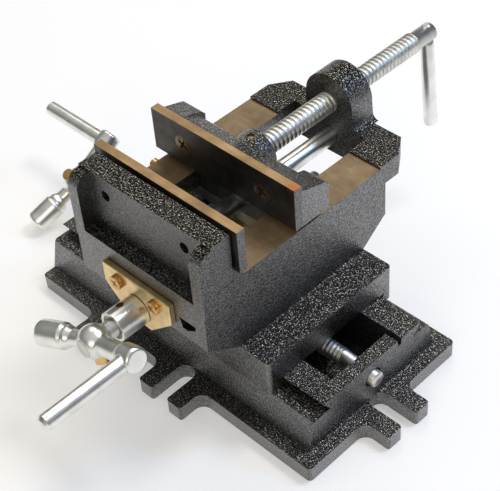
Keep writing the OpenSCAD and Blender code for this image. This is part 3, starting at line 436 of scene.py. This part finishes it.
def round_edges(piece, width, segments=3, angle=40, even=False):
    """Rounds every edge sharper than an angle, evenly or as far as there is room."""
    bevel = piece.modifiers.new("round", "BEVEL")
    bevel.width = width
    bevel.segments = segments
    bevel.limit_method = "ANGLE" if even else "WEIGHT"
    bevel.angle_limit = math.radians(angle)
    if not even:
        share_rounding(piece.data, width, math.radians(angle))
    bevel.use_clamp_overlap = True
    bevel.loop_slide = False
    apply_all(piece)
    bpy.ops.object.shade_smooth_by_angle(angle=math.radians(angle))


def keep_flats(piece):
    """Lets large flat faces keep their own normals beside the rounded edges."""
    flats = piece.modifiers.new("flats", "WEIGHTED_NORMAL")
    flats.mode = "FACE_AREA"
    flats.weight = 100
    flats.keep_sharp = True
    apply_all(piece)


def blend_boss_flanks(piece):
    """Lets the flanks of the rear boss run into its round top without a step."""
    for vertex in piece.data.vertices:
        aside = vertex.co.x - BODY_X
        at_step = abs(vertex.co.z - BOSS_Z) < NEAR and vertex.co.y > BOSS_FRONT
        if at_step and abs(abs(aside) - BOSS_FLANK) < NEAR:
            vertex.co.x = BODY_X + math.copysign(BOSS_R, aside)
    join_flat_faces(piece)


def bring_gussets_forward(piece):
    """Sets the gussets flush with the front face, as the casting runs on there."""
    for vertex in piece.data.vertices:
        if abs(vertex.co.y - GUSSET_Y) < NEAR:
            vertex.co.y = FRONT_Y
    join_flat_faces(piece)


def open_dovetail_corner(piece):
    """Sinks a blind recess into the front face, which stands for a corner of the cross dovetail."""
    mesh = bpy.data.meshes.new("dovetail_corner")
    corners = [(x * MM, FRONT_Y - CORNER_DEPTH, z * MM) for x, z in DOVETAIL_CORNER]
    mesh.from_pydata(corners, [], [range(len(corners))])
    blade = bpy.data.objects.new("dovetail_corner", mesh)
    bpy.context.scene.collection.objects.link(blade)
    activate(blade)
    bpy.ops.object.mode_set(mode="EDIT")
    bpy.ops.mesh.select_all(action="SELECT")
    bpy.ops.mesh.extrude_region_move(TRANSFORM_OT_translate={"value": (0, 2 * CORNER_DEPTH, 0)})
    bpy.ops.mesh.select_all(action="SELECT")
    bpy.ops.mesh.normals_make_consistent(inside=False)
    combine(piece, blade, "DIFFERENCE")


def rounded_pair(node, upper, width, material):
    """Two CAD nodes of one casting, grown together and rounded as one piece."""
    piece = copy_of(node, node + "_rounded")
    blend_boss_flanks(piece)
    other = copy_of(upper, upper + "_part")
    bring_gussets_forward(other)
    combine(piece, other, "UNION")
    join_flat_faces(piece)
    round_edges(piece, width)
    open_dovetail_corner(piece)
    keep_flats(piece)
    stand_for(piece, node, material)
    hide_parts(upper)


def rounded_copy(node, width, material, segments=3, even=False):
    """A CAD node with its sharp edges rounded, as a casting or a broken edge has."""
    piece = copy_of(node, node + "_rounded")
    round_edges(piece, width, segments, even=even)
    keep_flats(piece)
    stand_for(piece, node, material)


def cut_cross(piece, at, size, depth, facing):
    """Cuts a cross recess into a screw head; the head's face looks along -X or -Y."""
    for turn in (RECESS_TURN, RECESS_TURN + math.pi / 2):
        deselect()
        bpy.ops.mesh.primitive_cube_add(size=1, location=at)
        blade = bpy.context.object
        if facing == "X":
            blade.scale = (2 * depth, size, size / 5)
            blade.rotation_euler = (turn, 0, 0)
        else:
            blade.scale = (size, 2 * depth, size / 5)
            blade.rotation_euler = (0, turn, 0)
        combine(piece, blade, "DIFFERENCE")


def screws_with_heads(node, edge, middle, spread, recess, facing, material):
    """A CAD node's pair of screws, with rounded heads and a cross recess on either side of a middle."""
    size, depth = recess
    aside = Vector((0, spread, 0)) if facing == "X" else Vector((spread, 0, 0))
    piece = copy_of(node, node + "_recessed")
    round_edges(piece, edge, angle=50)
    for side in (1, -1):
        cut_cross(piece, middle + side * aside, size, depth, facing)
    stand_for(piece, node, material)


def blended_copy(node, material):
    """A CAD node whose pieces flow into each other, as on a forging: remeshed and smoothed."""
    piece = copy_of(node, node + "_forged")
    remesh = piece.modifiers.new("skin", "REMESH")
    remesh.mode = "VOXEL"
    remesh.voxel_size = FORGED_SKIN
    smooth = piece.modifiers.new("flow", "SMOOTH")
    smooth.factor = 0.5
    smooth.iterations = FORGED_PASSES
    apply_all(piece)
    bpy.ops.object.shade_smooth()
    stand_for(piece, node, material)


def turned_rod(name, outline, sides):
    """A closed turned piece about +Z from (radius, height, thread) rings, rolled from a flat grid.

    Where thread is set, the ring is cut by a thread of that pitch and depth."""
    rings = len(outline)
    deselect()
    bpy.ops.mesh.primitive_grid_add(x_subdivisions=sides, y_subdivisions=rings - 1, size=1)
    piece = bpy.context.object
    piece.name = name
    piece.data.name = name
    for vertex in piece.data.vertices:
        turn = (vertex.co.x + 0.5) * 2 * math.pi
        ring = outline[round((vertex.co.y + 0.5) * (rings - 1))]
        radius, height, thread = ring
        if thread:
            pitch, depth = thread
            phase = (height / pitch - turn / (2 * math.pi)) % 1
            radius -= depth * max(0.0, 1 - abs(phase - 0.5) / GROOVE_SHARE) ** 0.7
        vertex.co = (radius * math.cos(turn), radius * math.sin(turn), height)
    bpy.ops.object.mode_set(mode="EDIT")
    bpy.ops.mesh.select_all(action="SELECT")
    bpy.ops.mesh.remove_doubles(threshold=0.002 * MM)
    bpy.ops.mesh.select_all(action="DESELECT")
    bpy.ops.mesh.select_non_manifold()
    bpy.ops.mesh.edge_face_add()
    bpy.ops.mesh.select_all(action="SELECT")
    bpy.ops.mesh.normals_make_consistent(inside=False)
    bpy.ops.object.mode_set(mode="OBJECT")
    return piece


def set_rod(piece, start, direction, shade, node, material):
    """Lays a piece built about +Z along a direction, in its mesh, and lets it stand for its CAD node."""
    turn = Vector((0, 0, 1)).rotation_difference(Vector(direction)).to_matrix().to_4x4()
    piece.data.transform(Matrix.Translation(start) @ turn)
    piece.data.update()
    activate(piece)
    bpy.ops.object.shade_smooth_by_angle(angle=shade)
    stand_for(piece, node, material)


def thread_rings(radius, start, end, pitch):
    """Rings of a threaded length, close enough together to draw its thread."""
    count = round((end - start) / pitch * RINGS_PER_PITCH)
    steps = [start + (end - start) * i / count for i in range(count + 1)]
    return [(radius, z, (pitch, THREAD_DEPTH)) for z in steps]


# Camera


def look_from_the_photograph():
    """Sets the camera where the photograph was taken from."""
    ahead = Vector((
        math.cos(CAMERA_PITCH) * math.cos(CAMERA_YAW),
        math.cos(CAMERA_PITCH) * math.sin(CAMERA_YAW),
        -math.sin(CAMERA_PITCH),
    ))
    level = Vector((math.sin(CAMERA_YAW), -math.cos(CAMERA_YAW), 0))
    above = level.cross(ahead)
    right = math.cos(CAMERA_ROLL) * level + math.sin(CAMERA_ROLL) * above
    up = math.cos(CAMERA_ROLL) * above - math.sin(CAMERA_ROLL) * level
    camera = bpy.data.objects.new("camera", bpy.data.cameras.new("camera"))
    bpy.context.scene.collection.objects.link(camera)
    turn = Matrix((right, up, -ahead)).transposed().to_4x4()
    camera.matrix_world = Matrix.Translation(CAMERA_AT) @ turn
    camera.data.sensor_width = SENSOR
    camera.data.lens = FOCAL_PX * SENSOR / PHOTO_W
    camera.data.clip_end = 20
    bpy.context.scene.camera = camera


look_from_the_photograph()

# The finishes of this vise

charcoal = paint_finish("charcoal_hammer_enamel")
bed_paint = bed_finish("charcoal_enamel_milled_bed")
jaw_steel = jaw_finish("blackened_ground_steel")
bright_steel = bright_finish("bright_zinc_plate", "#f4f4ef", "#e0e0da", 0.25)
turned_steel = bright_finish("turned_bright_steel", "#e2e2dc", "#c4c3bc", 0.34)
brass = filed_finish("filed_brass", "#ecd5a2", "#d2b47c")
yellow_zinc = filed_finish("yellow_zinc_plate", "#e4bf80", "#bd8f55")
dark_steel = filed_finish("blackened_screw_steel", "#7d6a4e", "#4a3d2e")

# Castings and plates with rounded edges

rounded_copy("base_casting", CAST_EDGE, charcoal, even=True)
for node in ("saddle_casting", "moving_jaw_casting"):
    rounded_copy(node, CAST_EDGE, charcoal)
rounded_pair("vise_bed", "fixed_jaw_casting", CAST_EDGE, bed_paint)
for node in ("fixed_jaw_plate", "moving_jaw_plate"):
    rounded_copy(node, PLATE_EDGE, jaw_steel, segments=2)
for node in ("x_bearing_plate", "y_bearing_plate"):
    rounded_copy(node, BRASS_EDGE, brass, segments=2)
for node in ("x_crank", "y_crank"):
    blended_copy(node, bright_steel)
for node in ("x_coupling_sleeve", "y_coupling_sleeve"):
    rounded_copy(node, SLEEVE_EDGE, bright_steel)
for node in ("x_crank_screw", "y_crank_screw", "bed_lock_screw"):
    rounded_copy(node, DOMED_EDGE, yellow_zinc)

# Screw heads

screws_with_heads("y_plate_screws", PAN_EDGE, Y_PLATE_SCREWS, BEARING_SPREAD, PAN_RECESS,
                  "Y", yellow_zinc)
screws_with_heads("x_plate_screws", PAN_EDGE, X_PLATE_SCREWS, BEARING_SPREAD, PAN_RECESS,
                  "X", yellow_zinc)
screws_with_heads("moving_plate_screws", FLUSH_EDGE, MOVING_PLATE_SCREWS, JAW_SCREW_SPREAD, FLUSH_RECESS,
                  "Y", dark_steel)
screws_with_heads("fixed_plate_screws", FLUSH_EDGE, FIXED_PLATE_SCREWS, JAW_SCREW_SPREAD, FLUSH_RECESS,
                  "Y", dark_steel)

# Threaded rods


def corners_of(node):
    low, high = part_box(node)
    return Vector(low), Vector(high)


def make_clamp_screw():
    """The clamp screw from its plain end in the moving jaw to its head, threaded between them.

    It lacks the CAD model's groove for the retaining pin, which lies hidden in the moving jaw."""
    low, high = corners_of("clamp_screw")
    axis = Vector(((low.x + high.x) / 2, low.y, (low.z + high.z) / 2))
    length = high.y - low.y
    head_start = length - CLAMP_HEAD_L
    outline = [
        (CLAMP_NECK_R - 0.6 * MM, 0, None),
        (CLAMP_NECK_R, 0.6 * MM, None),
        (CLAMP_NECK_R, CLAMP_NECK_L, None),
        (CLAMP_NECK_R + 0.2 * MM, CLAMP_NECK_L + 0.2 * MM, None),
    ]
    outline += thread_rings(CLAMP_R, CLAMP_NECK_L + 0.4 * MM, head_start, CLAMP_PITCH)
    outline += [
        (CLAMP_HEAD_R, head_start + 0.3 * MM, None),
        (CLAMP_HEAD_R, length - 0.6 * MM, None),
        (CLAMP_HEAD_R - 0.6 * MM, length, None),
    ]
    piece = turned_rod("clamp_screw_threaded", outline, sides=56)
    set_rod(piece, axis, (0, 1, 0), THREAD_SHADE, "clamp_screw", turned_steel)


def make_lead_screw(node, inner_plain, along):
    """A lead screw from its inner end to its crank, threaded between journal and bearing."""
    low, high = corners_of(node)
    length = max(high - low)
    thread_end = length - LEAD_BEARING_L
    outline = [
        (LEAD_JOURNAL_R - 0.5 * MM, 0, None),
        (LEAD_JOURNAL_R, 0.8 * MM, None),
        (LEAD_JOURNAL_R, inner_plain, None),
    ]
    outline += thread_rings(LEAD_R, inner_plain + 0.3 * MM, thread_end, LEAD_PITCH)
    outline += [
        (LEAD_R, thread_end + 0.2 * MM, None),
        (LEAD_R, length - 0.4 * MM, None),
        (LEAD_R - 0.4 * MM, length, None),
    ]
    piece = turned_rod(node + "_threaded", outline, sides=32)
    inner = (low + high) / 2 - Vector(along) * (length / 2)
    set_rod(piece, inner, along, THREAD_SHADE, node, turned_steel)


def make_clamp_bar():
    """The bar that hangs from the clamp screw's head by its neck, filed nearly flush on top."""
    low, high = corners_of("clamp_handle")
    middle = sum(corners_of("clamp_screw"), Vector()) / 2
    axis = Vector((middle.x, (low.y + high.y) / 2, middle.z))
    shoulder = BAR_REACH - CLAMP_HEAD_R - 0.05 * MM
    outline = [
        (BAR_R - 1.4 * MM, 0, None),
        (BAR_R - 0.4 * MM, 0.4 * MM, None),
        (BAR_R, 1.4 * MM, None),
        (BAR_R, shoulder - 1.4 * MM, None),
        (BAR_R - 0.4 * MM, shoulder - 0.4 * MM, None),
        (BAR_NECK_R, shoulder, None),
        (BAR_NECK_R, BAR_REACH + 4.9 * MM, None),
        (BAR_NECK_R - 0.7 * MM, BAR_REACH + 5.5 * MM, None),
    ]
    piece = turned_rod("clamp_bar_turned", outline, sides=40)
    up = Vector((-math.sin(BAR_LEAN), 0, math.cos(BAR_LEAN)))
    set_rod(piece, axis - up * BAR_REACH, up, BAR_SHADE, "clamp_handle", bright_steel)


make_clamp_screw()
make_clamp_bar()
make_lead_screw("x_lead_screw", X_JOURNAL_L, (-1, 0, 0))
make_lead_screw("y_lead_screw", Y_JOURNAL_L, (0, -1, 0))

# Every other CAD node keeps its shape and gets the finish of its slot

SLOT_FINISH = {
    "painted_iron": charcoal,
    "jaw_steel": jaw_steel,
    "brass": brass,
    "yellow_zinc": yellow_zinc,
    "dark_steel": dark_steel,
    "bright_steel": bright_steel,
    "turned_steel": turned_steel,
}
for part in frame["record"]["subparts"]:
    for slot in nodes[part["node"]].material_slots:
        slot.material = SLOT_FINISH[part["material_slot"]]

# Floor, backdrop and light

LAMPS_AIM = Vector((0, 0, 60)) * MM


def pale_floor():
    """A pale floor with a faint glow of its own, which keeps the shadows light."""
    deselect()
    bpy.ops.mesh.primitive_plane_add(size=8, location=(0, 0, -0.05 * MM))
    floor = bpy.context.object
    floor.name = "floor"
    material, tree, shader = new_finish("pale_floor")[:3]
    wire(tree, shader, {"Base Color": srgb("#dfdedb"), "Roughness": 0.7, "Specular IOR Level": 0.1,
                        "Emission Color": srgb("#ffffff"), "Emission Strength": 0.33})
    dress(floor, material)


def area_light(name, at, size, power, colour="#ffffff"):
    """A soft lamp of a size in metres and a power in watts, turned to the vise."""
    lamp = bpy.data.lights.new(name, "AREA")
    lamp.shape = "RECTANGLE"
    lamp.size, lamp.size_y = size
    lamp.energy = power
    lamp.color = srgb(colour)[:3]
    holder = bpy.data.objects.new(name, lamp)
    bpy.context.scene.collection.objects.link(holder)
    holder.location = at
    aim = LAMPS_AIM - Vector(at)
    holder.rotation_euler = aim.to_track_quat("-Z", "Y").to_euler()


def studio():
    """A bright room: pale ceiling, dim walls, soft lamps and the sky through a window behind."""
    world = bpy.data.worlds.new("studio")
    bpy.context.scene.world = world
    world.use_nodes = True
    tree = world.node_tree
    way = add(tree, "ShaderNodeTexCoord")
    height = add(tree, "ShaderNodeSeparateXYZ", {"Vector": way.outputs["Generated"]})
    room = add(tree, "ShaderNodeValToRGB", {"Fac": height.outputs["Z"]},
               stops=[(0.0, "#6a6a68"), (1.0, "#dcdddd"), (0.45, "#8c8c8a"), (0.7, "#bfc0c0")])
    sky = tree.nodes["Background"]
    wire(tree, sky, {"Color": room.outputs["Color"], "Strength": 0.85})
    area_light("ceiling", (-0.7, 0.6, 1.2), (0.7, 0.7), 4.5, "#fff6ea")
    area_light("skylight", (0.25, 0.6, 1.3), (0.4, 0.4), 6)
    area_light("front", (0.7, -1.1, 0.75), (0.8, 0.6), 3.5, "#fff6ea")
    area_light("window", (0.6, 0.85, 0.9), (0.2, 0.2), 3.5, "#6fa8ff")


pale_floor()
studio()
bpy.context.scene.view_settings.view_transform = "Standard"
